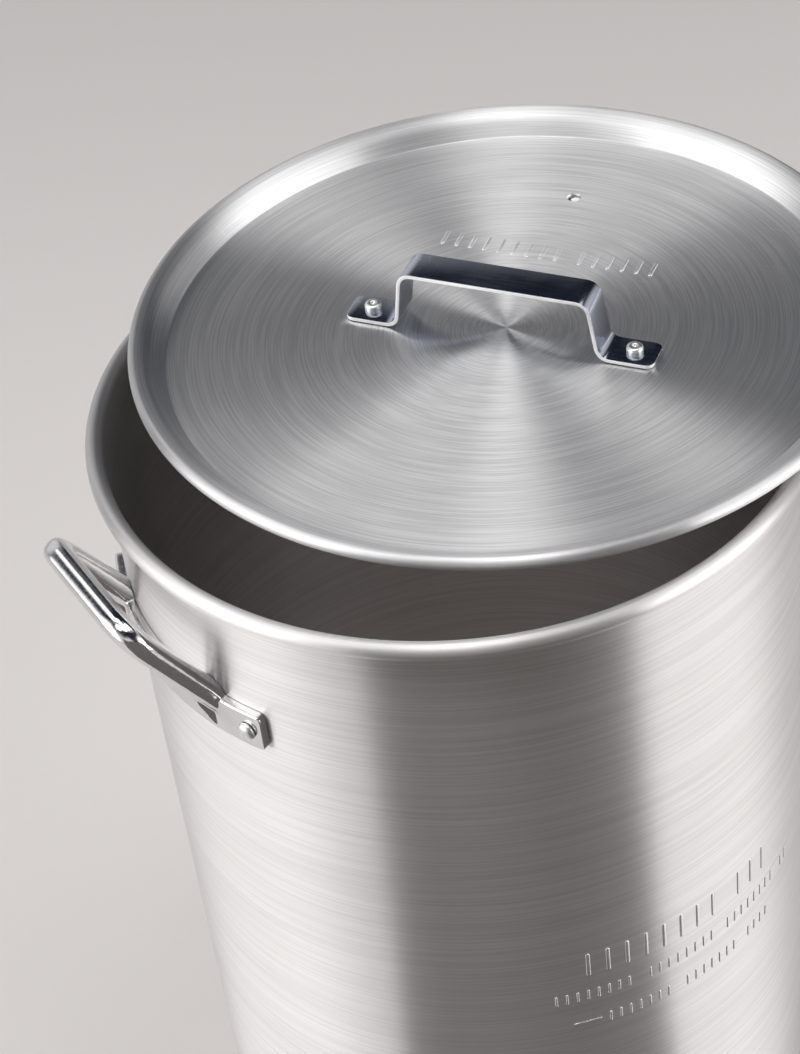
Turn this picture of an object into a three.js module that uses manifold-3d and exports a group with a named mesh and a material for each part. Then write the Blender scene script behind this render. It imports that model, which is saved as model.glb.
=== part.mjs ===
// Brew kettle: a tall spun aluminium pot with a rolled rim, two riveted loop handles, and a loose
// lid with a riveted strap handle, lying flat and off-centre on the rim.
// Millimetres, +Z up. The origin is the centre of the base, and the loop handles lie along X.
import * as THREE from 'three';
import { mergeVertices } from 'three/addons/utils/BufferGeometryUtils.js';
import Module from 'manifold-3d';

const wasm = await Module();
wasm.setup();

// Driving dimensions
const TURNS = 48; // facets round a turned piece
const RIVET_TURNS = 16;
const GAP = 0.3; // clearance between touching pieces

const BODY_SHEET = 1.6;
const RIM_HEIGHT = 460; // centre of the rolled bead above the base
const RIM_RADIUS = 160; // centre circle of the rolled bead
const RIM_BEAD = 4.05; // outer radius of the rolled bead
const WALL_TOP_RADIUS = 157.1; // outer radius that the wall would have at RIM_HEIGHT
const WALL_TAPER = 0.006; // loss of radius per unit of depth
const BASE_CORNER = 18;
const WALL_STRAIGHT = [230, RIM_HEIGHT - 9]; // two heights on the straight part of the wall
const RIM_CURL_DEG = [180, -110]; // from the wall, over the top and down outside

const LID_SHEET = 1.5;
const LID_BEAD_RADIUS = 168; // centre circle of the lid's rolled edge
const LID_BEAD = 3.2;
const LID_RECESS = 6.4; // centre of the rolled edge above the panel's top face
const LID_COVE = [[155.9, -0.75], [159.4, 3.6], [161.7, 6.1], [164, 7.8]]; // from the panel up to the flange
const LID_CURL_DEG = [95, -125]; // from the flange, over the edge and in underneath
const LID_SHIFT = [44.7, 26]; // the lid's axis from the kettle's axis
const VENT_RADIUS = 3;
const VENT_CIRCLE = 105.2;
const VENT_AZIMUTH_DEG = 39.5;

const STRAP_AZIMUTH_DEG = -52.5;
const STRAP_SHIFT = -4.8; // the strap's middle stands this far off the panel's centre
const STRAP_LENGTH = 148;
const STRAP_WIDTH = 17.5;
const STRAP_SHEET = 1.8;
const STRAP_HEIGHT = 30.5;
const STRAP_LEG_FOOT = 49.3; // outer face of a leg at the panel
const STRAP_LEG_TOP = 45.3; // outer face of a leg at the bridge
const STRAP_BEND = 6;
const STRAP_FOOT_CORNER = 4;
const STRAP_RIVET_X = 63;
const LID_RIVET_SHANK = 2.3;
const LID_RIVET_HEAD = 3.9;
const LID_RIVET_HEIGHT = 5;
const LID_RIVET_TAIL = 5;
const LID_RIVET_SHOULDER = 1.6;
const LID_RIVET_DIMPLE = [1.1, 0.8]; // radius and depth
const RIVET_TAIL_DEPTH = 1.6;

const HANDLE_MID_HEIGHT = RIM_HEIGHT - 67; // middle of the base plate
const PLATE_HEIGHT = 19.5;
const PLATE_THICK = 4;
const PLATE_HALF_ANGLE_DEG = 25.1;
const PLATE_CORNER = 2.5;
const SIDE_RIVET_ANGLE_DEG = 22.3;
const SIDE_RIVET_SHANK = 2.6;
const SIDE_RIVET_HEAD = 4.4;
const SIDE_RIVET_DOME = 3.4;
const SIDE_RIVET_TAIL = 6;
const SIDE_RIVET_TAIL_GAP = 0.6; // the wall curves towards the flat tail
const GRIP_WIDTH = 13;
const GRIP_THICK = 11.5;
const GRIP_CORNER = 5;
const GRIP_RADIUS = 183.9; // the grip's axis from the kettle's axis
const GRIP_HEIGHT = RIM_HEIGHT - 12;
const GRIP_HALF_SPAN = 36.6;
const GRIP_BEND = 13;
const ARM_ROOT_HALF_SPAN = 41;
const ARM_ROOT_RADIUS = 148;
const ARM_ROOT_HEIGHT = HANDLE_MID_HEIGHT;
const WEB_THICK = 7;
const WEB_FOOT = 7.75; // lowest point, below the middle of the plate
const WEB_TIP = [9, 14]; // inwards of and below the grip's axis
const DRILL_REACH = 12;
const CLEAR = 100; // longer than any cut needs

const deg = THREE.MathUtils.degToRad;
const wallRadius = (z) => WALL_TOP_RADIUS - WALL_TAPER * (RIM_HEIGHT - z);
const WALL_LEAN = Math.atan(WALL_TAPER);

// Finishes
const finish = (color, roughness) => ({ color, roughness, metalness: 1 });
const ALUMINIUM = finish(0xc9c8c6, 0.34);
const LID_ALUMINIUM = finish(0xbfc0c2, 0.3);
const RIVET_ALUMINIUM = finish(0xd0cfcb, 0.4);
const CHROME = finish(0xd8d9db, 0.1);
const POLISHED_STEEL = finish(0xb9bcc2, 0.15);

// Solids: merging, cutting and joining
function closed(geometry) {
  const bare = geometry.index ? geometry.toNonIndexed() : geometry.clone();
  bare.deleteAttribute('normal');
  bare.deleteAttribute('uv');
  const merged = mergeVertices(bare, 1e-4);
  const kept = [];
  for (let i = 0; i < merged.index.count; i += 3) {
    const corners = [0, 1, 2].map((k) => merged.index.getX(i + k));
    if (new Set(corners).size === 3) kept.push(...corners);
  }
  merged.setIndex(kept);
  return merged;
}

function toSolid(geometry) {
  const merged = closed(geometry);
  return new wasm.Manifold(new wasm.Mesh({
    numProp: 3,
    vertProperties: new Float32Array(merged.attributes.position.array),
    triVerts: new Uint32Array(merged.index.array),
  }));
}

function toGeometry(solid) {
  const mesh = solid.getMesh();
  const geometry = new THREE.BufferGeometry();
  geometry.setAttribute('position', new THREE.BufferAttribute(new Float32Array(mesh.vertProperties), 3));
  geometry.setIndex([...mesh.triVerts]);
  return geometry;
}

function named(name, geometry, look) {
  const shown = closed(geometry);
  shown.computeVertexNormals();
  const mesh = new THREE.Mesh(shown, new THREE.MeshStandardMaterial({ ...look, flatShading: true }));
  mesh.name = name;
  return mesh;
}

// A turned solid about Z from an outline of [radius, height] pairs, run anticlockwise
function turned(outline, turns = TURNS) {
  const points = outline.map(([r, z]) => new THREE.Vector2(r, z));
  return new THREE.LatheGeometry(points, turns).rotateX(Math.PI / 2);
}

function arc(cx, cz, radius, fromDeg, toDeg, steps) {
  return Array.from({ length: steps + 1 }, (_, i) => {
    const a = deg(fromDeg + ((toDeg - fromDeg) * i) / steps);
    return [cx + radius * Math.cos(a), cz + radius * Math.sin(a)];
  });
}

// The outline of a bent sheet: its centre line, offset by half the sheet's thickness each way
function sheetOutline(line, sheet) {
  const offset = (side) => line.map(([x, z], i) => {
    const before = line[Math.max(i - 1, 0)];
    const after = line[Math.min(i + 1, line.length - 1)];
    const unit = (p, q) => new THREE.Vector2(q[0] - p[0], q[1] - p[1]).normalize();
    const incoming = i > 0 ? unit(before, [x, z]) : unit([x, z], after);
    const outgoing = i < line.length - 1 ? unit([x, z], after) : incoming;
    const along = incoming.clone().add(outgoing).normalize();
    const reach = (side * sheet) / 2 / along.dot(outgoing);
    return [x + along.y * reach, z - along.x * reach];
  });
  return [...offset(1), ...offset(-1).reverse()];
}

// A path through corner points, with each inner corner rounded
function roundedPath(corners, radius) {
  const path = new THREE.CurvePath();
  let start = corners[0];
  for (let i = 1; i < corners.length - 1; i += 1) {
    const corner = corners[i];
    const enter = corner.clone().add(corners[i - 1].clone().sub(corner).setLength(radius));
    const leave = corner.clone().add(corners[i + 1].clone().sub(corner).setLength(radius));
    path.add(new THREE.LineCurve3(start, enter));
    path.add(new THREE.QuadraticBezierCurve3(enter, corner, leave));
    start = leave;
  }
  path.add(new THREE.LineCurve3(start, corners[corners.length - 1]));
  return path;
}

function roundedRectangle(width, height, radius) {
  const [x, y] = [width / 2 - radius, height / 2 - radius];
  const shape = new THREE.Shape();
  shape.absarc(x, y, radius, 0, Math.PI / 2);
  shape.absarc(-x, y, radius, Math.PI / 2, Math.PI);
  shape.absarc(-x, -y, radius, Math.PI, 1.5 * Math.PI);
  shape.absarc(x, -y, radius, 1.5 * Math.PI, 2 * Math.PI);
  return shape;
}

function cylinderAlongZ(radius, low, high) {
  const geometry = new THREE.CylinderGeometry(radius, radius, high - low, 16);
  return geometry.rotateX(Math.PI / 2).translate(0, 0, (high + low) / 2);
}

// Places a piece on the outside of the wall: its own +Z points out of the wall
function placeOnWall(object, azimuth, height) {
  object.rotation.order = 'ZYX';
  object.rotation.set(0, Math.PI / 2 + WALL_LEAN, azimuth);
  const r = wallRadius(height);
  object.position.set(r * Math.cos(azimuth), r * Math.sin(azimuth), height);
  object.updateMatrix();
  return object;
}

function wallDrill(azimuth, radius) {
  const place = placeOnWall(new THREE.Object3D(), azimuth, HANDLE_MID_HEIGHT);
  return toSolid(cylinderAlongZ(radius, -DRILL_REACH, DRILL_REACH).applyMatrix4(place.matrix));
}

// Kettle body: base, tapered wall and a rim rolled outwards and down
function kettleBody(sideAzimuths) {
  const half = BODY_SHEET / 2;
  const baseRadius = wallRadius(half) - half;
  const baseLine = [[0, half], ...arc(baseRadius - BASE_CORNER, half + BASE_CORNER, BASE_CORNER, -90, -4, 5)];
  const wallLine = WALL_STRAIGHT.map((z) => [wallRadius(z) - half, z]);
  const bead = arc(RIM_RADIUS, RIM_HEIGHT, RIM_BEAD - half, ...RIM_CURL_DEG, 10);
  let body = toSolid(turned(sheetOutline([...baseLine, ...wallLine, ...bead], BODY_SHEET)));
  for (const azimuth of sideAzimuths) {
    for (const side of [-1, 1]) {
      body = body.subtract(wallDrill(azimuth + side * deg(SIDE_RIVET_ANGLE_DEG), SIDE_RIVET_SHANK + GAP));
    }
  }
  return named('kettle_body', toGeometry(body), ALUMINIUM);
}

// Side handle, built facing +X: a curved base plate with a loop that rises to the grip
function sideHandle(name) {
  const low = HANDLE_MID_HEIGHT - PLATE_HEIGHT;
  const high = HANDLE_MID_HEIGHT + PLATE_HEIGHT;
  const inner = (z) => wallRadius(z) + GAP;
  const outer = (z) => inner(z) + PLATE_THICK;
  const ring = [[inner(low), low], [outer(low), low], [outer(high), high], [inner(high), high], [inner(low), low]];
  const plateWidth = 2 * wallRadius(HANDLE_MID_HEIGHT) * Math.sin(deg(PLATE_HALF_ANGLE_DEG));
  const window = new THREE.ExtrudeGeometry(roundedRectangle(plateWidth, PLATE_HEIGHT, PLATE_CORNER), {
    depth: CLEAR, bevelEnabled: false, curveSegments: 3,
  });
  window.rotateY(Math.PI / 2).rotateX(Math.PI / 2).translate(CLEAR, 0, HANDLE_MID_HEIGHT);
  const plate = toSolid(turned(ring, 2 * TURNS)).intersect(toSolid(window));

  const corner = (radius, y, z) => new THREE.Vector3(radius, y, z);
  const path = roundedPath([
    corner(ARM_ROOT_RADIUS, -ARM_ROOT_HALF_SPAN, ARM_ROOT_HEIGHT),
    corner(GRIP_RADIUS, -GRIP_HALF_SPAN, GRIP_HEIGHT),
    corner(GRIP_RADIUS, GRIP_HALF_SPAN, GRIP_HEIGHT),
    corner(ARM_ROOT_RADIUS, ARM_ROOT_HALF_SPAN, ARM_ROOT_HEIGHT),
  ], GRIP_BEND);
  const section = roundedRectangle(GRIP_WIDTH, GRIP_THICK, GRIP_CORNER);
  const loop = toSolid(new THREE.ExtrudeGeometry(section, { extrudePath: path, steps: 26, curveSegments: 2 }));

  const webFoot = HANDLE_MID_HEIGHT - WEB_FOOT;
  const webSpan = ARM_ROOT_HALF_SPAN - 1;
  const webRoot = Math.sqrt(outer(HANDLE_MID_HEIGHT) ** 2 - webSpan ** 2); // where the web meets the plate
  const web = new THREE.Shape([
    new THREE.Vector2(ARM_ROOT_RADIUS, ARM_ROOT_HEIGHT),
    new THREE.Vector2(ARM_ROOT_RADIUS, webFoot),
    new THREE.Vector2(webRoot, webFoot),
    new THREE.Vector2(GRIP_RADIUS - WEB_TIP[0], GRIP_HEIGHT - WEB_TIP[1]),
  ]);
  let handle = plate.add(loop);
  for (const side of [-1, 1]) {
    const rib = new THREE.ExtrudeGeometry(web, { depth: WEB_THICK, bevelEnabled: false });
    rib.rotateX(Math.PI / 2).translate(0, side * webSpan + WEB_THICK / 2, 0);
    handle = handle.add(toSolid(rib));
  }
  const wall = toSolid(turned([[0, low], [inner(low), low], [inner(high), high], [0, high]], 2 * TURNS));
  handle = handle.subtract(wall);
  for (const side of [-1, 1]) {
    handle = handle.subtract(wallDrill(side * deg(SIDE_RIVET_ANGLE_DEG), SIDE_RIVET_SHANK + GAP));
  }
  return named(name, toGeometry(handle), CHROME);
}

// A solid rivet along Z through a stack of sheets between low and high
function rivetOutline({ shank, low, high, tail, head }) {
  const bottom = low - RIVET_TAIL_DEPTH;
  return [[0, bottom], [tail, bottom], [tail, low], [shank, low], [shank, high], ...head];
}

function sideRivet(name) {
  const high = GAP + PLATE_THICK + GAP;
  const dome = arc(0, high, 1, 0, 90, 4).map(([x, z]) => [x * SIDE_RIVET_HEAD, high + (z - high) * SIDE_RIVET_DOME]);
  dome[dome.length - 1][0] = 0;
  const outline = rivetOutline({
    shank: SIDE_RIVET_SHANK, low: -BODY_SHEET - SIDE_RIVET_TAIL_GAP, high, tail: SIDE_RIVET_TAIL, head: dome,
  });
  return named(name, turned(outline, RIVET_TURNS), RIVET_ALUMINIUM);
}

function lidRivet(name) {
  const high = GAP + STRAP_SHEET + GAP;
  const top = high + LID_RIVET_HEIGHT;
  const round = LID_RIVET_SHOULDER;
  const [dimple, depth] = LID_RIVET_DIMPLE;
  const shoulder = arc(LID_RIVET_HEAD - round, top - round, round, 0, 90, 3);
  const head = [[LID_RIVET_HEAD, high], ...shoulder, [dimple, top], [0.7 * dimple, top - depth], [0, top - depth]];
  const outline = rivetOutline({
    shank: LID_RIVET_SHANK, low: -LID_SHEET - GAP, high, tail: LID_RIVET_TAIL, head,
  });
  return named(name, turned(outline, RIVET_TURNS), RIVET_ALUMINIUM);
}

// Lid: a flat recessed panel, a cove up to the flange, and an edge rolled down and in
function lidShell(rivetPlaces, vent) {
  const half = LID_SHEET / 2;
  const bead = arc(LID_BEAD_RADIUS, LID_RECESS, LID_BEAD - half, ...LID_CURL_DEG, 8);
  let lid = toSolid(turned(sheetOutline([[0, -half], ...LID_COVE, ...bead], LID_SHEET)));
  const drill = (x, y, radius) => toSolid(cylinderAlongZ(radius, -DRILL_REACH, DRILL_REACH).translate(x, y, 0));
  for (const [x, y] of rivetPlaces) lid = lid.subtract(drill(x, y, LID_RIVET_SHANK + GAP));
  lid = lid.subtract(drill(...vent, VENT_RADIUS));
  return named('lid_shell', toGeometry(lid), LID_ALUMINIUM);
}

// Strap handle, built along X with its feet on the panel: bent from one flat strip
function lidStrap() {
  const half = STRAP_SHEET / 2;
  const feet = GAP + half;
  const bridge = GAP + STRAP_HEIGHT - half;
  const corners = [
    [-STRAP_LENGTH / 2, feet], [-STRAP_LEG_FOOT + half, feet], [-STRAP_LEG_TOP + half, bridge],
    [STRAP_LEG_TOP - half, bridge], [STRAP_LEG_FOOT - half, feet], [STRAP_LENGTH / 2, feet],
  ];
  const path = roundedPath(corners.map(([x, z]) => new THREE.Vector3(x, z, 0)), STRAP_BEND);
  const line = path.curves.flatMap((curve, i) => {
    const points = curve.getPoints(curve.isLineCurve3 ? 1 : 5);
    return i === 0 ? points : points.slice(1);
  });
  const outline = sheetOutline(line.map((p) => [p.x, p.y]), STRAP_SHEET);
  const profile = new THREE.Shape(outline.map(([x, z]) => new THREE.Vector2(x, z)));
  const strip = new THREE.ExtrudeGeometry(profile, { depth: STRAP_WIDTH, bevelEnabled: false });
  strip.rotateX(Math.PI / 2).translate(0, STRAP_WIDTH / 2, 0);
  const plan = new THREE.ExtrudeGeometry(roundedRectangle(STRAP_LENGTH, STRAP_WIDTH + 0.2, STRAP_FOOT_CORNER), {
    depth: CLEAR, bevelEnabled: false, curveSegments: 4,
  });
  let strap = toSolid(strip).intersect(toSolid(plan.translate(0, 0, -CLEAR / 2)));
  for (const side of [-1, 1]) {
    const hole = cylinderAlongZ(LID_RIVET_SHANK + GAP, -DRILL_REACH, DRILL_REACH).translate(side * STRAP_RIVET_X, 0, 0);
    strap = strap.subtract(toSolid(hole));
  }
  return named('lid_handle_strap', toGeometry(strap), POLISHED_STEEL);
}

// Assembly
const kettle = new THREE.Group();
const HANDLE_AZIMUTHS = { left: Math.PI, right: 0 };
kettle.add(kettleBody(Object.values(HANDLE_AZIMUTHS)));
for (const [side, azimuth] of Object.entries(HANDLE_AZIMUTHS)) {
  const handle = sideHandle(`side_handle_${side}`);
  handle.rotation.z = azimuth;
  kettle.add(handle);
  for (const [end, turn] of [['front', -1], ['rear', 1]]) {
    const rivet = sideRivet(`side_rivet_${side}_${end}`);
    const facing = side === 'left' ? -turn : turn;
    kettle.add(placeOnWall(rivet, azimuth + facing * deg(SIDE_RIVET_ANGLE_DEG), HANDLE_MID_HEIGHT));
  }
}

const strapTurn = deg(STRAP_AZIMUTH_DEG);
const onStrap = (x, y) => [
  x * Math.cos(strapTurn) - y * Math.sin(strapTurn),
  x * Math.sin(strapTurn) + y * Math.cos(strapTurn),
];
const lidRivets = [['left', -STRAP_RIVET_X], ['right', STRAP_RIVET_X]].map(([end, x]) => ({
  end,
  place: onStrap(x, STRAP_SHIFT),
}));
const ventTurn = deg(VENT_AZIMUTH_DEG);
const vent = [VENT_CIRCLE * Math.cos(ventTurn), VENT_CIRCLE * Math.sin(ventTurn)];

const lid = new THREE.Group();
lid.add(lidShell(lidRivets.map((rivet) => rivet.place), vent));
const strap = lidStrap();
strap.rotation.z = strapTurn;
strap.position.set(...onStrap(0, STRAP_SHIFT), 0);
lid.add(strap);
for (const { end, place } of lidRivets) {
  const rivet = lidRivet(`lid_rivet_${end}`);
  rivet.position.set(...place, 0);
  lid.add(rivet);
}
lid.position.set(...LID_SHIFT, RIM_HEIGHT + RIM_BEAD + GAP + LID_SHEET);
kettle.add(lid);

export default kettle;
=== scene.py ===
"""Brew kettle: a spun aluminium pot with a rolled rim, chromed loop handles and a loose lid."""

import math

import bmesh
import bpy
from mathutils import Matrix, Vector

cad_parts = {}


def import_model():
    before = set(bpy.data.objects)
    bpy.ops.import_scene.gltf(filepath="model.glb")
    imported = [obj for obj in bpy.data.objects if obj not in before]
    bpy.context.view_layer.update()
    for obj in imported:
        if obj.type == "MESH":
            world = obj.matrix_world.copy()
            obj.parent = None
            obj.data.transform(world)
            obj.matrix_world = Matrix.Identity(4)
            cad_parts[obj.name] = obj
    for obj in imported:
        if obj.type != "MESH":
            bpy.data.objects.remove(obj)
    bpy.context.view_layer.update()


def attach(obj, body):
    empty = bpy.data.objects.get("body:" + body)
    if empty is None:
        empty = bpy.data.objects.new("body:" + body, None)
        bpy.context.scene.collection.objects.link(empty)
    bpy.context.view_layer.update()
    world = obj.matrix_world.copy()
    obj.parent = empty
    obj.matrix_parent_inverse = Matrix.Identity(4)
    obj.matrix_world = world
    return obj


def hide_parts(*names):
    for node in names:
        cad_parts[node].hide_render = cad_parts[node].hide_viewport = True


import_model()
scene = bpy.context.scene
MM = 0.001

# Sizes in millimetres, as in the part's own source
SHEET = 1.6
RIM_HEIGHT = 460.0
RIM_RADIUS = 160.0
RIM_BEAD = 4.05
WALL_TOP_RADIUS = 157.1
WALL_TAPER = 0.006
BASE_CORNER = 18.0
LID_SHEET = 1.5
LID_BEAD_RADIUS = 168.0
LID_BEAD = 3.2
LID_RECESS = 6.4
LID_AXIS = (44.7, 26.0)
PANEL_TOP = RIM_HEIGHT + 5.85
VENT_RADIUS = 3.0
VENT_CIRCLE = 105.2
VENT_AZIMUTH = math.radians(39.5)
STRAP_AZIMUTH = math.radians(-52.5)
STRAP_SHIFT = -4.8
STRAP_LENGTH = 148.0
STRAP_WIDTH = 17.5
STRAP_SHEET = 1.8
STRAP_HEIGHT = 30.5
STRAP_LEG_FOOT = 49.3
STRAP_LEG_TOP = 45.3
STRAP_BEND = 6.0
STRAP_CORNER = 4.0
STRAP_RIVET = 63.0
HANDLE_MID = RIM_HEIGHT - 67
PLATE_HEIGHT = 19.5
PLATE_THICK = 4.0
PLATE_HALF_ANGLE = 25.1
PLATE_CORNER = 2.5
SIDE_RIVET_ANGLE = 22.3
GRIP_WIDE = 13.0
GRIP_THICK = 11.5
GRIP_SQUARENESS = 2.5
GRIP = (183.9, RIM_HEIGHT - 12)
GRIP_SPAN = 36.6
GRIP_BEND = 13.0
ARM_ROOT = (148.0, HANDLE_MID)
ARM_ROOT_SPAN = 41.0
GAP = 0.3
MARK_RISE = 0.45
LINE_DEPTH = 0.02

# Raised marks: on the lid, behind the strap, and in rows on the front of the wall
MARKS_ACROSS = 58.8
MARKS_HALF = 52.0
MARKS_STEP = 7.0
FRONT_AZIMUTH = -118.0
WALL_MARKS = (  # depth under the rim, width, tall, count, first turn, step, per group, group gap
    (212.0, 2.0, 15.5, 11, 12.5, 3.6, 8, 3.0),
    (233.0, 1.2, 7.0, 26, 6.5, 1.9, 8, 2.2),
    (253.0, 1.2, 7.0, 18, 16.0, 1.9, 7, 2.2),
    (252.0, 6.6, 1.0, 2, 10.5, 2.6, 10, 0.0),
)

# Camera and studio
CAMERA_PLACE = (-0.46394, -0.87255, 1.23022)
CAMERA_FORWARD = (0.3499, 0.61342, -0.70802)
CAMERA_RIGHT = (0.83545, -0.54624, -0.06039)
CAMERA_UP = (0.42379, 0.57038, 0.70361)
CAMERA_LENS = 95.687
CAMERA_SHIFT = (-0.1423, 0.2087)
FLAG_TURNS = (-34.0, 44.0)
ROOM = (0.013, 0.017, 0.028)
BACKDROP = (0.467, 0.447, 0.436)
LIGHT_COLOUR = (0.89, 0.875, 0.87)
SIDE_LIGHT = 3.5
HIGH_LIGHT = 3.0
TOP_LIGHT = 5.0
FILL_LIGHT = 0.8
SOFT_LIGHTS = (  # azimuth, elevation, angular radius, strength
    *((azimuth, 8.0, 40.0, SIDE_LIGHT) for azimuth in (162.0, -54.0)),
    *((azimuth, 8.0, 40.0, FILL_LIGHT) for azimuth in (198.0, -18.0, 90.0)),
    *((azimuth, 60.0, 15.0, HIGH_LIGHT) for azimuth in (0.0, 120.0, 180.0)),
    *((azimuth, 77.0, 15.0, HIGH_LIGHT) for azimuth in (90.0, 315.0)),
    (225.0, 77.0, 15.0, TOP_LIGHT),
    (105.0, 45.0, 16.0, HIGH_LIGHT / 2),
    (-126.0, 20.0, 22.0, FILL_LIGHT),
)


def wall_radius(z):
    return WALL_TOP_RADIUS - WALL_TAPER * (RIM_HEIGHT - z)


# Mesh helpers


def arc(cx, cz, radius, start, end, steps):
    turns = [math.radians(start + (end - start) * i / steps) for i in range(steps + 1)]
    return [(cx + radius * math.cos(a), cz + radius * math.sin(a)) for a in turns]


def smooth_line(points, steps):
    """A smooth line through the points (Catmull-Rom)."""
    line = []
    last = len(points) - 1
    for i in range(last):
        a, b, c, d = points[max(i - 1, 0)], points[i], points[i + 1], points[min(i + 2, last)]
        for k in range(steps):
            t = k / steps
            line.append(tuple(
                0.5 * (
                    2 * q + (r - p) * t + (2 * p - 5 * q + 4 * r - s) * t * t
                    + (3 * q - p - 3 * r + s) * t ** 3
                )
                for p, q, r, s in zip(a, b, c, d)
            ))
    return line + [points[last]]


def sheet_outline(line, sheet):
    """The outline of a bent sheet, run anticlockwise: its centre line set off by half the sheet each way."""
    def offset(side):
        out = []
        for i, (x, z) in enumerate(line):
            before = Vector(line[max(i - 1, 0)])
            after = Vector(line[min(i + 1, len(line) - 1)])
            along = (after - before).normalized()
            out.append((x + along.y * side * sheet / 2, z - along.x * side * sheet / 2))
        return out
    return offset(1) + offset(-1)[::-1]


def finish_piece(name, mesh, body, material, replaced=(), sharp=35):
    """Makes the mesh a smooth-shaded piece in metres, gives it its body and material, and hides the parts it
    replaces.
    """
    piece = bpy.data.objects.new(name, mesh)
    scene.collection.objects.link(piece)
    mesh.materials.clear()
    mesh.materials.append(material)
    mesh.shade_smooth()
    mesh.set_sharp_from_angle(angle=math.radians(sharp))
    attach(piece, body)
    if replaced:
        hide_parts(*replaced)
    return piece


def turned(name, outline, turns, axis=(0.0, 0.0, 0.0)):
    """A closed turned solid about the vertical through axis. A point on the axis closes to one vertex."""
    mesh = bmesh.new()
    rings = []
    for radius, height in outline:
        if radius < 1e-6:
            rings.append([mesh.verts.new((axis[0] * MM, axis[1] * MM, (axis[2] + height) * MM))])
            continue
        ring = []
        for k in range(turns):
            a = 2 * math.pi * k / turns
            ring.append(mesh.verts.new((
                (axis[0] + radius * math.cos(a)) * MM,
                (axis[1] + radius * math.sin(a)) * MM,
                (axis[2] + height) * MM,
            )))
        rings.append(ring)
    for low, high in zip(rings, rings[1:] + rings[:1]):
        for k in range(turns):
            n = (k + 1) % turns
            corners = [low[k % len(low)], low[n % len(low)], high[n % len(high)], high[k % len(high)]]
            corners = list(dict.fromkeys(corners))
            if len(corners) > 2:
                mesh.faces.new(corners)
    bmesh.ops.recalc_face_normals(mesh, faces=mesh.faces)
    data = bpy.data.meshes.new(name)
    mesh.to_mesh(data)
    mesh.free()
    return data


def evaluated(piece):
    """The piece's mesh with its modifiers applied. The piece itself is removed."""
    bpy.context.view_layer.update()
    graph = bpy.context.evaluated_depsgraph_get()
    mesh = bpy.data.meshes.new_from_object(piece.evaluated_get(graph))
    bpy.data.objects.remove(piece)
    return mesh


def loose(name, mesh):
    piece = bpy.data.objects.new(name, mesh)
    scene.collection.objects.link(piece)
    return piece


def cut(mesh, cutter):
    """The mesh with the cutter's mesh cut out of it."""
    piece, tool = loose("worked", mesh), loose("tool", cutter)
    change = piece.modifiers.new("cut", "BOOLEAN")
    change.operation = "DIFFERENCE"
    change.solver = "EXACT"
    change.object = tool
    result = evaluated(piece)
    bpy.data.objects.remove(tool)
    return result


# Shader groups


def new_group(name, inputs, outputs):
    tree = bpy.data.node_groups.new(name, "ShaderNodeTree")
    for label, kind, value in inputs:
        socket = tree.interface.new_socket(label, in_out="INPUT", socket_type=kind)
        if value is not None:
            socket.default_value = value
    for label, kind in outputs:
        tree.interface.new_socket(label, in_out="OUTPUT", socket_type=kind)
    return tree, tree.nodes.new("NodeGroupInput"), tree.nodes.new("NodeGroupOutput")


class Nodes:
    """Short ways to add and join nodes in a tree."""

    def __init__(self, tree):
        self.tree = tree

    def plug(self, socket, value):
        if isinstance(value, bpy.types.NodeSocket):
            self.tree.links.new(value, socket)
        elif value is not None:
            socket.default_value = value

    def add(self, kind, settings=None, **values):
        node = self.tree.nodes.new(kind)
        for key, value in (settings or {}).items():
            setattr(node, key, value)
        for key, value in values.items():
            self.plug(node.inputs[key.replace("_", " ")], value)
        return node

    def math(self, operation, a, b=0.0, clamp=False):
        node = self.add("ShaderNodeMath", {"operation": operation, "use_clamp": clamp})
        self.plug(node.inputs[0], a)
        self.plug(node.inputs[1], b)
        return node.outputs[0]

    def vector(self, operation, a, b=None, scale=None):
        node = self.add("ShaderNodeVectorMath", {"operation": operation})
        self.plug(node.inputs[0], a)
        if b is not None:
            self.plug(node.inputs[1], b)
        if scale is not None:
            self.plug(node.inputs["Scale"], scale)
        return node.outputs["Value"] if operation in ("LENGTH", "DOT_PRODUCT") else node.outputs["Vector"]

    def turn(self, vector, angle):
        """The vector turned about Z."""
        node = self.add("ShaderNodeVectorRotate", {"rotation_type": "Z_AXIS"}, Vector=vector, Angle=angle)
        return node.outputs[0]

    def noise(self, vector, scale, detail=2.0, roughness=0.5, w=None):
        node = self.add("ShaderNodeTexNoise", {"noise_dimensions": "3D" if w is None else "4D"})
        self.plug(node.inputs["Vector"], vector)
        if w is not None:
            self.plug(node.inputs["W"], w)
        for key, value in (("Scale", scale), ("Detail", detail), ("Roughness", roughness)):
            self.plug(node.inputs[key], value)
        return node.outputs["Fac"]

    def ramp(self, value, low, high, to_low=0.0, to_high=1.0):
        node = self.add("ShaderNodeMapRange", {"interpolation_type": "SMOOTHSTEP"})
        given = {"Value": value, "From Min": low, "From Max": high, "To Min": to_low, "To Max": to_high}
        for key, wanted in given.items():
            self.plug(node.inputs[key], wanted)
        return node.outputs[0]

    def mix(self, share, a, b):
        node = self.add("ShaderNodeMix", {"data_type": "RGBA"})
        self.plug(node.inputs[0], share)
        self.plug(node.inputs[6], a)
        self.plug(node.inputs[7], b)
        return node.outputs[2]


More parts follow.
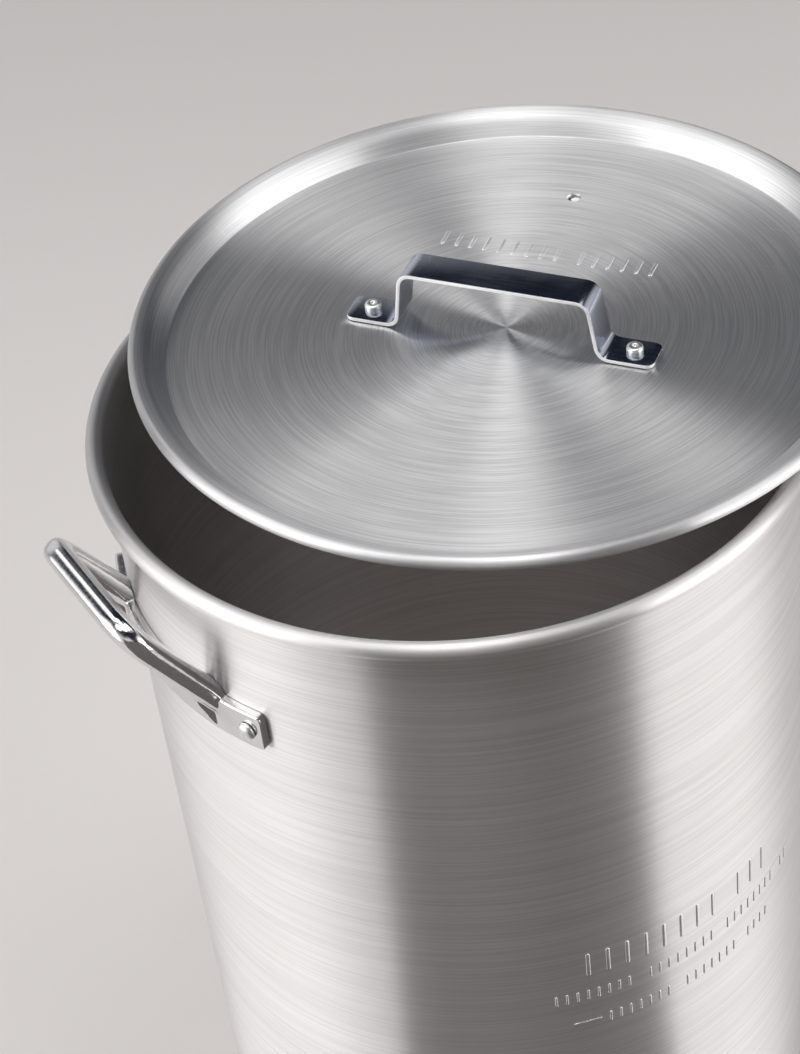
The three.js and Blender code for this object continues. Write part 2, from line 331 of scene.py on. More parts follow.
def turning_lines_group():
    """Fine lines that run round a turned piece's axis, on its flat faces and its wall alike."""
    tree, given, out = new_group(
        "turning lines",
        [
            ("Place", "NodeSocketVector", None), ("Fineness", "NodeSocketFloat", 1500.0),
            ("Run", "NodeSocketFloat", 5.0),
        ],
        [("Lines", "NodeSocketFloat"), ("Bands", "NodeSocketFloat")],
    )
    n = Nodes(tree)
    flat = n.vector("MULTIPLY", given.outputs["Place"], (1.0, 1.0, 0.0))
    round_axis = n.vector("SCALE", n.vector("NORMALIZE", flat), scale=given.outputs["Run"])
    radius = n.vector("LENGTH", flat)
    height = n.add("ShaderNodeSeparateXYZ", Vector=given.outputs["Place"]).outputs["Z"]
    across = n.math("ADD", radius, height)
    fine = n.math("MULTIPLY", across, given.outputs["Fineness"])
    coarse = n.math("MULTIPLY", fine, 0.3)
    lines = n.noise(round_axis, 1.0, 2.0, 0.6, w=fine)
    bands = n.noise(round_axis, 0.3, 2.0, 0.6, w=coarse)
    tree.links.new(lines, out.inputs["Lines"])
    tree.links.new(bands, out.inputs["Bands"])
    return tree


def scratches_group():
    """Sparse long scratches that run one way, seen as a thin mask."""
    tree, given, out = new_group(
        "scratches",
        [
            ("Place", "NodeSocketVector", None), ("Turn", "NodeSocketFloat", 0.4),
            ("Stretch", "NodeSocketVector", (18.0, 900.0, 18.0)), ("Amount", "NodeSocketFloat", 0.5),
        ],
        [("Mask", "NodeSocketFloat")],
    )
    n = Nodes(tree)
    turned_place = n.turn(given.outputs["Place"], given.outputs["Turn"])
    stretched = n.vector("MULTIPLY", turned_place, given.outputs["Stretch"])
    lines = n.noise(stretched, 1.0, 1.0, 0.4)
    patches = n.noise(given.outputs["Place"], 22.0, 1.0, 0.5)
    thin = n.ramp(lines, 0.70, 0.76)
    where = n.ramp(patches, 0.5, 0.68)
    mask = n.math("MULTIPLY", n.math("MULTIPLY", thin, where), given.outputs["Amount"], clamp=True)
    tree.links.new(mask, out.inputs["Mask"])
    return tree


def smudges_group():
    """Soft marks from handling, seen as a slow change of gloss and tone."""
    tree, given, out = new_group(
        "smudges",
        [("Place", "NodeSocketVector", None), ("Size", "NodeSocketFloat", 14.0)],
        [("Mask", "NodeSocketFloat")],
    )
    n = Nodes(tree)
    broad = n.noise(given.outputs["Place"], given.outputs["Size"], 3.0, 0.55)
    tree.links.new(n.ramp(broad, 0.35, 0.7), out.inputs["Mask"])
    return tree


TURNING_LINES = turning_lines_group()
SCRATCHES = scratches_group()
SMUDGES = smudges_group()


def new_material(name):
    material = bpy.data.materials.new(name)
    material.use_nodes = True
    material.node_tree.nodes.clear()
    n = Nodes(material.node_tree)
    shader = n.add("ShaderNodeBsdfPrincipled")
    output = n.add("ShaderNodeOutputMaterial")
    material.node_tree.links.new(shader.outputs[0], output.inputs[0])
    shader.inputs["Metallic"].default_value = 1.0
    place = n.add("ShaderNodeTexCoord").outputs["Object"]
    return material, n, shader, place


def grouped(n, tree, **values):
    node = n.add("ShaderNodeGroup", {"node_tree": tree})
    for key, value in values.items():
        n.plug(node.inputs[key], value)
    return node


def spun_aluminium(
    name, axis, light, dark, roughness, stretch, fineness, run, scratch_turn, scratch_stretch
):
    """Brushed aluminium, turned about a vertical axis: the gloss spreads across the turning lines."""
    material, n, shader, place = new_material(name)
    centred = n.vector("SUBTRACT", place, tuple(x * MM for x in axis))
    lines = grouped(n, TURNING_LINES, Place=centred, Fineness=fineness, Run=run)
    scratches = grouped(n, SCRATCHES, Place=centred, Turn=scratch_turn, Stretch=scratch_stretch, Amount=0.5)
    smudges = grouped(n, SMUDGES, Place=centred, Size=12.0)
    line_share = n.math("MULTIPLY", lines.outputs["Lines"], 0.78)
    band_share = n.math("MULTIPLY", lines.outputs["Bands"], 0.22)
    tone = n.math("ADD", line_share, band_share)
    colour = n.mix(n.ramp(tone, 0.38, 0.62), dark, light)
    smudged = (*(0.8 * x for x in dark[:3]), 1.0)
    colour = n.mix(n.math("MULTIPLY", smudges.outputs["Mask"], 0.06), colour, smudged)
    colour = n.mix(scratches.outputs["Mask"], colour, (0.92, 0.92, 0.92, 1.0))
    n.plug(shader.inputs["Base Color"], colour)
    gloss = n.ramp(smudges.outputs["Mask"], 0.0, 1.0, roughness - 0.008, roughness + 0.008)
    n.plug(shader.inputs["Roughness"], gloss)
    shader.inputs["Anisotropic"].default_value = stretch
    round_axis = n.vector("CROSS_PRODUCT", (0.0, 0.0, 1.0), centred)
    surface = n.add("ShaderNodeNewGeometry").outputs["Normal"]
    across = n.vector("NORMALIZE", n.vector("CROSS_PRODUCT", surface, round_axis))
    n.plug(shader.inputs["Tangent"], across)
    height = n.math("ADD", lines.outputs["Lines"], n.math("MULTIPLY", scratches.outputs["Mask"], 0.6))
    bump = n.add("ShaderNodeBump", Strength=0.2, Distance=LINE_DEPTH * MM, Height=height)
    n.plug(shader.inputs["Normal"], bump.outputs[0])
    return material


def cast_chrome():
    material, n, shader, place = new_material("cast chrome")
    grain = n.noise(place, 900.0, 2.0, 0.6)
    waves = n.noise(place, 120.0, 2.0, 0.5)
    smudges = grouped(n, SMUDGES, Place=place, Size=40.0)
    colour = n.mix(smudges.outputs["Mask"], (0.80, 0.80, 0.81, 1), (0.70, 0.70, 0.71, 1))
    n.plug(shader.inputs["Base Color"], colour)
    n.plug(shader.inputs["Roughness"], n.ramp(grain, 0.35, 0.7, 0.07, 0.2))
    height = n.math("ADD", n.math("MULTIPLY", grain, 0.35), waves)
    bump = n.add("ShaderNodeBump", Strength=0.5, Distance=0.12 * MM, Height=height)
    n.plug(shader.inputs["Normal"], bump.outputs[0])
    return material


def polished_strip():
    material, n, shader, place = new_material("polished strip")
    along = n.turn(place, -STRAP_AZIMUTH)
    fine = n.noise(n.vector("MULTIPLY", along, (60.0, 2200.0, 2200.0)), 1.0, 2.0, 0.5)
    specks = n.noise(place, 700.0, 2.0, 0.6)
    smudges = grouped(n, SMUDGES, Place=place, Size=60.0)
    colour = n.mix(n.ramp(specks, 0.62, 0.72), (0.48, 0.51, 0.58, 1), (0.66, 0.68, 0.72, 1))
    n.plug(shader.inputs["Base Color"], colour)
    gloss = n.ramp(fine, 0.3, 0.7, 0.10, 0.17)
    handled = n.math("MULTIPLY", smudges.outputs["Mask"], 0.05)
    n.plug(shader.inputs["Roughness"], n.math("ADD", gloss, handled))
    bump = n.add("ShaderNodeBump", Strength=0.3, Distance=0.02 * MM, Height=fine)
    n.plug(shader.inputs["Normal"], bump.outputs[0])
    return material


def cut_edge():
    material, n, shader, place = new_material("cut edge")
    grain = n.noise(place, 1500.0, 2.0, 0.6)
    n.plug(shader.inputs["Base Color"], n.mix(grain, (0.90, 0.90, 0.89, 1), (0.97, 0.97, 0.96, 1)))
    n.plug(shader.inputs["Roughness"], n.ramp(grain, 0.3, 0.7, 0.38, 0.5))
    bump = n.add("ShaderNodeBump", Strength=0.4, Distance=0.03 * MM, Height=grain)
    n.plug(shader.inputs["Normal"], bump.outputs[0])
    return material


def satin_rivet():
    material, n, shader, place = new_material("satin rivet")
    dents = n.noise(place, 420.0, 2.0, 0.5)
    grain = n.noise(place, 2500.0, 2.0, 0.6)
    colour = n.mix(n.ramp(dents, 0.35, 0.65), (0.74, 0.74, 0.72, 1), (0.88, 0.88, 0.86, 1))
    n.plug(shader.inputs["Base Color"], colour)
    n.plug(shader.inputs["Roughness"], n.ramp(grain, 0.3, 0.7, 0.3, 0.42))
    height = n.math("ADD", dents, n.math("MULTIPLY", grain, 0.2))
    bump = n.add("ShaderNodeBump", Strength=0.5, Distance=0.12 * MM, Height=height)
    n.plug(shader.inputs["Normal"], bump.outputs[0])
    return material


BODY_FINISH = spun_aluminium(
    "spun body", axis=(0, 0, 0), light=(0.84, 0.83, 0.825, 1), dark=(0.74, 0.73, 0.725, 1),
    roughness=0.40, stretch=0.95, fineness=1100.0, run=1.6,
    scratch_turn=0.0, scratch_stretch=(14.0, 14.0, 900.0),
)
LID_FINISH = spun_aluminium(
    "spun lid", axis=(*LID_AXIS, PANEL_TOP), light=(0.84, 0.84, 0.845, 1), dark=(0.66, 0.665, 0.67, 1),
    roughness=0.38, stretch=1.0, fineness=1250.0, run=2.2,
    scratch_turn=0.9, scratch_stretch=(14.0, 900.0, 14.0),
)
CHROME_FINISH = cast_chrome()
STRAP_FINISH = polished_strip()
EDGE_FINISH = cut_edge()
RIVET_FINISH = satin_rivet()


# Kettle body


def kettle_body():
    half = SHEET / 2
    base_radius = wall_radius(half) - half
    base = arc(base_radius - BASE_CORNER, half + BASE_CORNER, BASE_CORNER, -90, -3, 14)
    flat = [(x, half) for x in (0.0, 30.0, 70.0, 105.0)]
    straight = [(wall_radius(z) - half, z) for z in (60.0, 140.0, 220.0, 300.0, 380.0, 445.0)]
    rim_foot = RIM_HEIGHT - 11
    inner = wall_radius(rim_foot) - half
    neck = smooth_line([(inner, rim_foot), (inner + 0.02, rim_foot + 4), (156.5, rim_foot + 8)], 3)
    curl = arc(RIM_RADIUS, RIM_HEIGHT, RIM_BEAD - half, 180, -140, 34)
    line = flat + base + straight + neck + curl
    return turned("kettle_body", sheet_outline(line, SHEET), 288)


finish_piece("kettle_shell", kettle_body(), "kettle", BODY_FINISH, ("kettle_body",))


# Lid


def lid_shell():
    half = LID_SHEET / 2
    panel = [(x, -half) for x in (0.0, 20.0, 50.0, 90.0, 130.0, 150.0, 154.6)]
    foot = arc(154.9, -half + 1.6, 1.6, -90, -38, 5)
    cove = smooth_line([foot[-1], (158.6, 3.1), (161.3, 6.3), (164.3, 8.3)], 5)
    edge = arc(LID_BEAD_RADIUS, LID_RECESS, LID_BEAD - half, 98, -165, 30)
    line = panel + foot[:-1] + cove + edge
    mesh = turned("lid_shell", sheet_outline(line, LID_SHEET), 288, (*LID_AXIS, PANEL_TOP))
    vent = (
        LID_AXIS[0] + VENT_CIRCLE * math.cos(VENT_AZIMUTH),
        LID_AXIS[1] + VENT_CIRCLE * math.sin(VENT_AZIMUTH),
        PANEL_TOP,
    )
    reach, flare = 6, VENT_RADIUS + 0.5
    tool = [(0, -reach), (VENT_RADIUS, -reach), (VENT_RADIUS, -0.5), (flare, 0.2), (flare, reach), (0, reach)]
    drill = turned("drill", tool, 40, vent)
    return cut(mesh, drill)


finish_piece("lid_pan", lid_shell(), "lid", LID_FINISH, ("lid_shell",))


# Strap handle


def strap():
    half_long, half_wide, sheet = STRAP_LENGTH / 2, STRAP_WIDTH / 2, STRAP_SHEET
    leg_foot, leg_top, height = STRAP_LEG_FOOT, STRAP_LEG_TOP, STRAP_HEIGHT
    bend, corner = STRAP_BEND, STRAP_CORNER
    low, high = GAP + sheet / 2, GAP + height - sheet / 2
    turns = [
        (-half_long, low), (-leg_foot + sheet / 2, low), (-leg_top + sheet / 2, high),
        (leg_top - sheet / 2, high), (leg_foot - sheet / 2, low), (half_long, low),
    ]
    line = [turns[0], (-half_long + corner, low), (-60.0, low)]
    for before, at, after in zip(turns, turns[1:], turns[2:]):
        at = Vector(at)
        enter = at + (Vector(before) - at).normalized() * bend
        leave = at + (Vector(after) - at).normalized() * bend
        for k in range(9):
            t = k / 8
            line.append(tuple((1 - t) ** 2 * enter + 2 * t * (1 - t) * at + t * t * leave))
    line += [(60.0, low), (half_long - corner, low), turns[-1]]
    line = [p for i, p in enumerate(line) if i == 0 or (Vector(p) - Vector(line[i - 1])).length > 1e-4]
    outline = sheet_outline(line, sheet)
    mesh = bmesh.new()
    sides = [[mesh.verts.new((x * MM, y * MM, z * MM)) for x, z in outline] for y in (-half_wide, half_wide)]
    count, half = len(outline), len(line)
    for k in range(count):
        n = (k + 1) % count
        mesh.faces.new([sides[0][k], sides[0][n], sides[1][n], sides[1][k]])
    for k in range(half - 1):
        far = count - 1 - k
        mesh.faces.new([sides[0][k], sides[0][far], sides[0][far - 1], sides[0][k + 1]])
        mesh.faces.new([sides[1][k], sides[1][k + 1], sides[1][far - 1], sides[1][far]])
    bmesh.ops.recalc_face_normals(mesh, faces=mesh.faces)
    data = bpy.data.meshes.new("strap")
    mesh.to_mesh(data)
    mesh.free()
    plan = bmesh.new()
    around = []
    for sx, sy, start in ((1, 1, 0), (-1, 1, 90), (-1, -1, 180), (1, -1, 270)):
        for x, y in arc(0, 0, corner, start, start + 90, 8):
            around.append(((sx * (half_long - corner) + x) * MM, (sy * (half_wide - corner) + y) * MM))
    rings = [[plan.verts.new((x, y, z * MM)) for x, y in around] for z in (-5, 45)]
    for k in range(len(around)):
        n = (k + 1) % len(around)
        plan.faces.new([rings[0][k], rings[0][n], rings[1][n], rings[1][k]])
    plan.faces.new(rings[0][::-1])
    plan.faces.new(rings[1])
    shape = bpy.data.meshes.new("plan")
    plan.to_mesh(shape)
    plan.free()
    piece, tool = loose("worked", data), loose("tool", shape)
    trim = piece.modifiers.new("trim", "BOOLEAN")
    trim.operation, trim.solver, trim.object = "INTERSECT", "EXACT", tool
    soften = piece.modifiers.new("soften", "BEVEL")
    soften.width, soften.segments = 0.35 * MM, 3
    soften.limit_method, soften.angle_limit = "ANGLE", math.radians(50)
    result = evaluated(piece)
    bpy.data.objects.remove(tool)
    shift = Matrix.Rotation(STRAP_AZIMUTH, 4, "Z") @ Matrix.Translation((0, STRAP_SHIFT * MM, 0))
    result.transform(Matrix.Translation((LID_AXIS[0] * MM, LID_AXIS[1] * MM, PANEL_TOP * MM)) @ shift)
    return result


def show_cut_edges(piece):
    """Gives the sheared edges of the strip their own paler finish."""
    piece.data.materials.append(EDGE_FINISH)
    along = Vector((math.cos(STRAP_AZIMUTH), math.sin(STRAP_AZIMUTH), 0))
    across = Vector((-math.sin(STRAP_AZIMUTH), math.cos(STRAP_AZIMUTH), 0))
    middle = Vector((LID_AXIS[0] * MM, LID_AXIS[1] * MM, 0))
    for face in piece.data.polygons:
        from_middle = abs((Vector(face.center) - middle) @ along)
        is_side = abs(face.normal @ across) > 0.75
        is_end = abs(face.normal @ along) > 0.6 and face.area < 8 * MM * MM and from_middle > 0.069
        if is_side or is_end:
            face.material_index = 1


strap_piece = finish_piece(
    "strap_handle", strap(), "lid", STRAP_FINISH, ("lid_handle_strap",), sharp=40
)
show_cut_edges(strap_piece)


# Rivets: one shaped rivet, set out by Geometry Nodes


def lid_rivet_mesh():
    radius, shoulder, top, dimple = 3.95, 1.5, 5.6, 1.05
    foot = [(0, 0.3), (radius - 0.3, 0.3), (radius - 0.1, 0.7), (radius, 1.6)]
    head = arc(radius - shoulder, top - shoulder, shoulder, 0, 84, 8)
    crater = [
        (dimple + 0.5, top + 0.02), (dimple + 0.15, top - 0.12), (dimple - 0.1, top - 0.5),
        (dimple * 0.5, top - 0.95), (0, top - 1.05),
    ]
    return turned("lid rivet", foot + head + crater, 48)


def side_rivet_mesh():
    radius, dome, seat = 4.4, 3.4, PLATE_THICK + GAP
    foot = [(0, seat + 0.3), (radius - 0.25, seat + 0.3), (radius, seat + 0.75)]
    head = []
    for k in range(1, 13):
        a = math.radians(90 * k / 12)
        head.append((radius * math.cos(a), seat + 0.75 + (dome - 0.75) * math.sin(a)))
    return turned("side rivet", foot + head[:-1] + [(0, seat + dome)], 48)


def set_out_tree(name, ends):
    """Copies of one shape in a row. ends(nodes, along, level) gives each copy's place and rotation."""
    tree = bpy.data.node_groups.new(name, "GeometryNodeTree")
    for label, kind in (
        ("Geometry", "Geometry"), ("Shape", "Object"), ("Count", "Int"), ("Per group", "Int"),
        ("First", "Float"), ("Step", "Float"), ("Group gap", "Float"), ("Level", "Float"),
        ("Finish", "Material"),
    ):
        tree.interface.new_socket(label, in_out="INPUT", socket_type="NodeSocket" + kind)
    tree.interface.new_socket("Geometry", in_out="OUTPUT", socket_type="NodeSocketGeometry")
    given = tree.nodes.new("NodeGroupInput")
    out = tree.nodes.new("NodeGroupOutput")
    n = Nodes(tree)
    index = tree.nodes.new("GeometryNodeInputIndex").outputs[0]
    group = n.math("FLOOR", n.math("DIVIDE", index, given.outputs["Per group"]))
    along = n.math("ADD", n.math("MULTIPLY", index, given.outputs["Step"]), given.outputs["First"])
    along = n.math("ADD", along, n.math("MULTIPLY", group, given.outputs["Group gap"]))
    place, rotation = ends(n, along, given.outputs["Level"])
    points = n.add("GeometryNodePoints", Count=given.outputs["Count"], Position=place)
    shape = n.add("GeometryNodeObjectInfo", Object=given.outputs["Shape"])
    turned_to = n.add("FunctionNodeEulerToRotation", Euler=rotation)
    copies = n.add(
        "GeometryNodeInstanceOnPoints",
        Points=points.outputs[0], Instance=shape.outputs["Geometry"], Rotation=turned_to.outputs[0],
    )
    real = n.add("GeometryNodeRealizeInstances", Geometry=copies.outputs[0])
    painted = n.add("GeometryNodeSetMaterial", Geometry=real.outputs[0], Material=given.outputs["Finish"])
    tree.links.new(painted.outputs[0], out.inputs[0])
    return tree


def on_wall(n, turn, level):
    """A place on the outside of the wall, with the copy's own up pointing out of it."""
    drop = n.math("SUBTRACT", RIM_HEIGHT * MM, level)
    radius = n.math("SUBTRACT", WALL_TOP_RADIUS * MM, n.math("MULTIPLY", drop, WALL_TAPER))
    x = n.math("MULTIPLY", radius, n.math("COSINE", turn))
    y = n.math("MULTIPLY", radius, n.math("SINE", turn))
    place = n.add("ShaderNodeCombineXYZ", X=x, Y=y, Z=level)
    lean = math.pi / 2 + math.atan(WALL_TAPER)
    return place.outputs[0], n.add("ShaderNodeCombineXYZ", Y=lean, Z=turn).outputs[0]


def on_lid(n, along, across):
    """A place on the lid's panel, measured along and across the strap handle."""
    local = n.add("ShaderNodeCombineXYZ", X=along, Y=across).outputs[0]
    swung = n.turn(local, STRAP_AZIMUTH)
    place = n.vector("ADD", swung, (LID_AXIS[0] * MM, LID_AXIS[1] * MM, PANEL_TOP * MM))
    return place, n.add("ShaderNodeCombineXYZ", Z=STRAP_AZIMUTH).outputs[0]


WALL_ROW = set_out_tree("row round the wall", on_wall)
LID_ROW = set_out_tree("row on the lid", on_lid)


def set_out(tree, shape, finish, count, first, step, level, per_group=1000, group_gap=0.0):
    """The plain mesh that the tree makes from one shape."""
    shape_object = loose("shape", shape)
    holder = loose("row", bpy.data.meshes.new("row"))
    change = holder.modifiers.new("set out", "NODES")
    change.node_group = tree
    values = {
        "Shape": shape_object, "Count": count, "Per group": per_group, "First": first,
        "Step": step, "Group gap": group_gap, "Level": level * MM, "Finish": finish,
    }
    for item in tree.interface.items_tree:
        if item.in_out == "INPUT" and item.name in values:
            change[item.identifier] = values[item.name]
    result = evaluated(holder)
    bpy.data.objects.remove(shape_object)
    return result


lid_rivets = set_out(
    LID_ROW, lid_rivet_mesh(), RIVET_FINISH, 2, -STRAP_RIVET * MM, 2 * STRAP_RIVET * MM, STRAP_SHIFT
)
finish_piece(
    "lid_rivets", lid_rivets, "lid", RIVET_FINISH,
    ("lid_rivet_left", "lid_rivet_right"), sharp=50,
)

spread = math.radians(SIDE_RIVET_ANGLE)
side_rivets = set_out(
    WALL_ROW, side_rivet_mesh(), RIVET_FINISH, 4, -spread, 2 * spread, HANDLE_MID, 2, math.pi - 4 * spread
)
finish_piece(
    "side_rivets", side_rivets, "kettle", RIVET_FINISH,
    ("side_rivet_left_front", "side_rivet_left_rear", "side_rivet_right_front", "side_rivet_right_rear"),
    sharp=50,
)


# Plain raised marks, where such kettles carry embossed lines


def raised_bar(width, height, rise):
    """A low rounded bar, lying on its own XY plane with its foot just under it."""
    mesh = bmesh.new()
    rings = []
    radius = min(width, height) / 2
    for inset, z in ((0.0, -0.25), (0.0, rise * 0.35), (0.12, rise * 0.75), (0.34, rise)):
        r = radius - inset
        ring = []
        for sx, sy, start in ((1, 1, 0), (-1, 1, 90), (-1, -1, 180), (1, -1, 270)):
            for x, y in arc(0, 0, r, start, start + 90, 5):
                px = sx * (width / 2 - radius) + x
                py = sy * (height / 2 - radius) + y
                ring.append(mesh.verts.new((px * MM, py * MM, z * MM)))
        rings.append(ring)
    for low, high in zip(rings, rings[1:]):
        for k in range(len(low)):
            n = (k + 1) % len(low)
            mesh.faces.new([low[k], low[n], high[n], high[k]])
    mesh.faces.new(rings[0][::-1])
    mesh.faces.new(rings[-1])
    bmesh.ops.remove_doubles(mesh, verts=mesh.verts, dist=1e-6)
    bmesh.ops.recalc_face_normals(mesh, faces=mesh.faces)
    data = bpy.data.meshes.new("bar")
    mesh.to_mesh(data)
    mesh.free()
    return data


lid_marks = set_out(
    LID_ROW, raised_bar(1.9, 10.5, MARK_RISE), LID_FINISH, 15, -MARKS_HALF * MM, MARKS_STEP * MM,
    MARKS_ACROSS, 9, MARKS_STEP * 0.7 * MM,
)
finish_piece("lid_marks", lid_marks, "lid", LID_FINISH, sharp=60)
for number, (depth, wide, tall, count, first, step, per_group, gap) in enumerate(WALL_MARKS):
    turn = math.radians(FRONT_AZIMUTH + first)
    row = set_out(
        WALL_ROW, raised_bar(tall, wide, MARK_RISE), BODY_FINISH, count, turn, math.radians(step),
        RIM_HEIGHT - depth, per_group, math.radians(gap),
    )
    finish_piece(f"wall_marks_{number + 1}", row, "kettle", BODY_FINISH, sharp=60)


# Loop handles: cast in one piece, so their edges and joints are soft


def sweep(path, section):
    """A closed tube of the section along the path. path holds (place, in-plane normal, plane normal)."""
    mesh = bmesh.new()
    rings = []
    for place, across, up in path:
        rings.append([mesh.verts.new((place + across * u + up * v) * MM) for u, v in section])
    for low, high in zip(rings, rings[1:]):
        for k in range(len(low)):
            n = (k + 1) % len(low)
            mesh.faces.new([low[k], low[n], high[n], high[k]])
    mesh.faces.new(rings[0][::-1])
    mesh.faces.new(rings[-1])
    bmesh.ops.recalc_face_normals(mesh, faces=mesh.faces)
    return mesh


def add_hull(mesh, points):
    corners = [mesh.verts.new(Vector(p) * MM) for p in points]
    hull = bmesh.ops.convex_hull(mesh, input=corners)
    bmesh.ops.recalc_face_normals(mesh, faces=[g for g in hull["geom"] if isinstance(g, bmesh.types.BMFace)])


def handle_mesh():
    corners = [
        Vector((ARM_ROOT[0], -ARM_ROOT_SPAN, ARM_ROOT[1])), Vector((GRIP[0], -GRIP_SPAN, GRIP[1])),
        Vector((GRIP[0], GRIP_SPAN, GRIP[1])), Vector((ARM_ROOT[0], ARM_ROOT_SPAN, ARM_ROOT[1])),
    ]
    slope = Vector((GRIP[0] - ARM_ROOT[0], 0, GRIP[1] - ARM_ROOT[1])).normalized()
    up = slope.cross(Vector((0, 1, 0))).normalized()
    points = [corners[0]]
    for before, at, after in zip(corners, corners[1:], corners[2:]):
        enter = at + (before - at).normalized() * GRIP_BEND
        leave = at + (after - at).normalized() * GRIP_BEND
        for k in range(17):
            t = k / 16
            points.append((1 - t) ** 2 * enter + 2 * t * (1 - t) * at + t * t * leave)
    points.append(corners[-1])
    path = []
    for i, p in enumerate(points):
        along = (points[min(i + 1, len(points) - 1)] - points[max(i - 1, 0)]).normalized()
        path.append((p, up.cross(along), up))
    section = []
    for k in range(40):
        a = 2 * math.pi * k / 40
        c, s = math.cos(a), math.sin(a)
        power = 2 / GRIP_SQUARENESS
        section.append((
            GRIP_WIDE / 2 * math.copysign(abs(c) ** power, c),
            GRIP_THICK / 2 * math.copysign(abs(s) ** power, s),
        ))
    mesh = sweep(path, section)

    half = math.radians(PLATE_HALF_ANGLE)
    columns = []
    steps = 96
    radius = wall_radius(HANDLE_MID)
    for k in range(steps + 1):
        a = -half * math.cos(math.pi * k / steps)
        edge = (half - abs(a)) * radius
        trim = PLATE_CORNER - math.sqrt(max(PLATE_CORNER ** 2 - max(PLATE_CORNER - edge, 0) ** 2, 0))
        tall = PLATE_HEIGHT / 2 - trim
        column = []
        for z, out in ((-tall, -1.5), (-tall, GAP + PLATE_THICK), (tall, GAP + PLATE_THICK), (tall, -1.5)):
            r = wall_radius(HANDLE_MID + z) + out
            column.append(mesh.verts.new(Vector((r * math.cos(a), r * math.sin(a), HANDLE_MID + z)) * MM))
        columns.append(column)
    for low, high in zip(columns, columns[1:]):
        for k in range(4):
            n = (k + 1) % 4
            mesh.faces.new([low[k], low[n], high[n], high[k]])
    mesh.faces.new(columns[0][::-1])
    mesh.faces.new(columns[-1])
    bmesh.ops.recalc_face_normals(mesh, faces=mesh.faces)

    span = ARM_ROOT_SPAN - 1
    face = math.sqrt((radius + GAP + PLATE_THICK) ** 2 - span ** 2)
    foot = HANDLE_MID - 7.75
    top = HANDLE_MID + PLATE_HEIGHT / 2
    tip = (GRIP[0] - 9, GRIP[1] - 14)
    for side in (-1, 1):
        middle = side * span
        web = []
        for x, z, thick in (
            (*ARM_ROOT, 3.6), (ARM_ROOT[0], foot, 3.6), (face, foot, 3.4),
            (*tip, 2.6), (tip[0] - 4, tip[1] + 4, 2.6),
        ):
            inward = side * 3 * max(0.0, (z - top) / (GRIP[1] - top))
            web += [(x, middle - inward - thick, z), (x, middle - inward + thick, z)]
        add_hull(mesh, web)
    data = bpy.data.meshes.new("handle")
    mesh.to_mesh(data)
    mesh.free()
    piece = loose("worked", data)
    joined = piece.modifiers.new("joined", "REMESH")
    joined.mode, joined.voxel_size, joined.adaptivity = "VOXEL", 0.5 * MM, 0.0
    eased = piece.modifiers.new("eased", "SMOOTH")
    eased.factor, eased.iterations = 0.5, 14
    cast = evaluated(piece)
    low, high = HANDLE_MID - PLATE_HEIGHT, HANDLE_MID + 3 * PLATE_HEIGHT
    drum = [(0, low), (wall_radius(low) + GAP, low), (wall_radius(high) + GAP, high), (0, high)]
    inside = turned("inside", drum, 480)
    return cut(cast, inside)


right = handle_mesh()
left = right.copy()
left.transform(Matrix.Rotation(math.pi, 4, "Z"))
for side, mesh in (("right", right), ("left", left)):
    finish_piece(
        f"loop_handle_{side}", mesh, "kettle", CHROME_FINISH,
        (f"side_handle_{side}",), sharp=60,
    )


# Floor, light and camera


def toward(azimuth, elevation):
    a, e = math.radians(azimuth), math.radians(elevation)
    return Vector((math.cos(e) * math.cos(a), math.cos(e) * math.sin(a), math.sin(e)))


def floor():
    material, n, shader, place = new_material("pale floor with painted falloff")
    shader.inputs["Metallic"].default_value = 0.0
    shader.inputs["Roughness"].default_value = 0.75
    # Painted light: the floor's colour is lightest round and in front of the kettle and darkens toward the
    # back and with distance. This is a painted pool of light falling off, not a change in the floor itself.
    depth = n.vector("DOT_PRODUCT", place, tuple(-toward(FRONT_AZIMUTH, 0)))
    near = n.mix(n.ramp(depth, -0.1, 1.6), (0.665, 0.64, 0.625, 1), (0.43, 0.412, 0.402, 1))
    far = n.ramp(n.vector("LENGTH", place), 1.6, 4.5)
    n.plug(shader.inputs["Base Color"], n.mix(far, near, (0.43, 0.412, 0.402, 1)))
    mesh = bpy.data.meshes.new("floor")
    mesh.from_pydata([(-20, -20, 0), (20, -20, 0), (20, 20, 0), (-20, 20, 0)], [], [(0, 1, 2, 3)])
    mesh.materials.append(material)
    loose("floor", mesh)


def reflector(name, points, strength, colour=(1, 1, 1)):
    """A card that is only seen in the metal, as a studio flag or a white board is."""
    material = bpy.data.materials.new(name)
    material.use_nodes = True
    material.node_tree.nodes.clear()
    n = Nodes(material.node_tree)
    glow = n.add("ShaderNodeEmission", Color=(*colour, 1), Strength=strength)
    output = n.add("ShaderNodeOutputMaterial", Surface=glow.outputs[0])
    mesh = bpy.data.meshes.new(name)
    mesh.from_pydata(*points)
    mesh.materials.append(material)
    card = loose(name, mesh)
    card.visible_camera = card.visible_diffuse = card.visible_shadow = card.visible_transmission = False
    return card


def dark_flag():
    """The unlit front of the room: a dark strip on the floor and up in front of the kettle."""
    steps, near, far, high = 24, 0.17, 1.5, 1.1
    low_turn, high_turn = (math.radians(FRONT_AZIMUTH + d) for d in FLAG_TURNS)
    verts, faces = [], []
    for k in range(steps + 1):
        a = low_turn + (high_turn - low_turn) * k / steps
        for r, z in ((near, 0.001), (far, 0.001), (far, high)):
            verts.append((r * math.cos(a), r * math.sin(a), z))
    for k in range(steps):
        for row in range(2):
            i = 3 * k + row
            faces.append((i, i + 1, i + 4, i + 3))
    reflector("dark flag", (verts, [], faces), 1.0, (0.15, 0.135, 0.128))


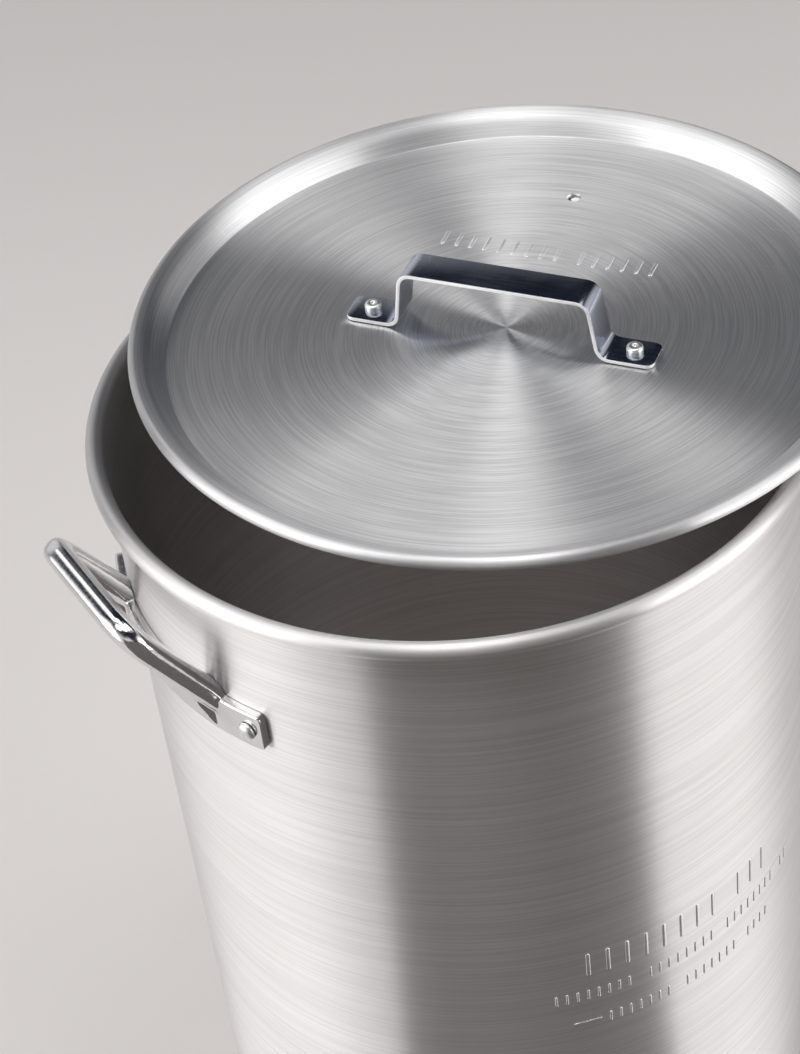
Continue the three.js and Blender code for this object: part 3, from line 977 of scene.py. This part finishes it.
def world():
    """A dim room with large soft lights. The camera itself sees a plain pale backdrop."""
    sky = bpy.data.worlds.new("studio")
    scene.world = sky
    sky.use_nodes = True
    sky.node_tree.nodes.clear()
    n = Nodes(sky.node_tree)
    look = n.add("ShaderNodeTexCoord").outputs["Generated"]
    total = None
    for azimuth, elevation, radius, strength in SOFT_LIGHTS:
        near = n.vector("DOT_PRODUCT", look, tuple(toward(azimuth, elevation)))
        edge, core = (math.cos(math.radians(r)) for r in (radius, 0.35 * radius))
        spot = n.ramp(near, edge, core, 0.0, strength)
        total = spot if total is None else n.math("ADD", total, spot)
    room = n.vector("ADD", n.vector("SCALE", LIGHT_COLOUR, scale=total), ROOM)
    seen = n.add("ShaderNodeLightPath").outputs["Is Camera Ray"]
    colour = n.mix(seen, room, (*BACKDROP, 1))
    background = n.add("ShaderNodeBackground", Color=colour, Strength=1.0)
    n.add("ShaderNodeOutputWorld", Surface=background.outputs[0])


def camera():
    lens = bpy.data.cameras.new("camera")
    lens.sensor_fit, lens.sensor_width, lens.sensor_height = "AUTO", 36.0, 36.0
    lens.lens = CAMERA_LENS
    lens.shift_x, lens.shift_y = CAMERA_SHIFT
    lens.clip_start, lens.clip_end = 0.05, 100
    holder = bpy.data.objects.new("camera", lens)
    scene.collection.objects.link(holder)
    forward, across, upward = (Vector(v).normalized() for v in (CAMERA_FORWARD, CAMERA_RIGHT, CAMERA_UP))
    turned_to = Matrix((across, upward, -forward)).transposed().to_4x4()
    holder.matrix_world = Matrix.Translation(CAMERA_PLACE) @ turned_to
    scene.camera = holder


def inner_glow():
    """The light that gathers in the bottom of the kettle, seen in the inside of its wall."""
    steps, radius = 48, 0.148
    turns = [2 * math.pi * k / steps for k in range(steps)]
    verts = [(radius * math.cos(a), radius * math.sin(a), 0.006) for a in turns]
    reflector("inner glow", (verts, [], [tuple(range(steps))]), 1.0, (0.18, 0.158, 0.15))


floor()
dark_flag()
inner_glow()
world()
camera()
scene.view_settings.view_transform = "Standard"
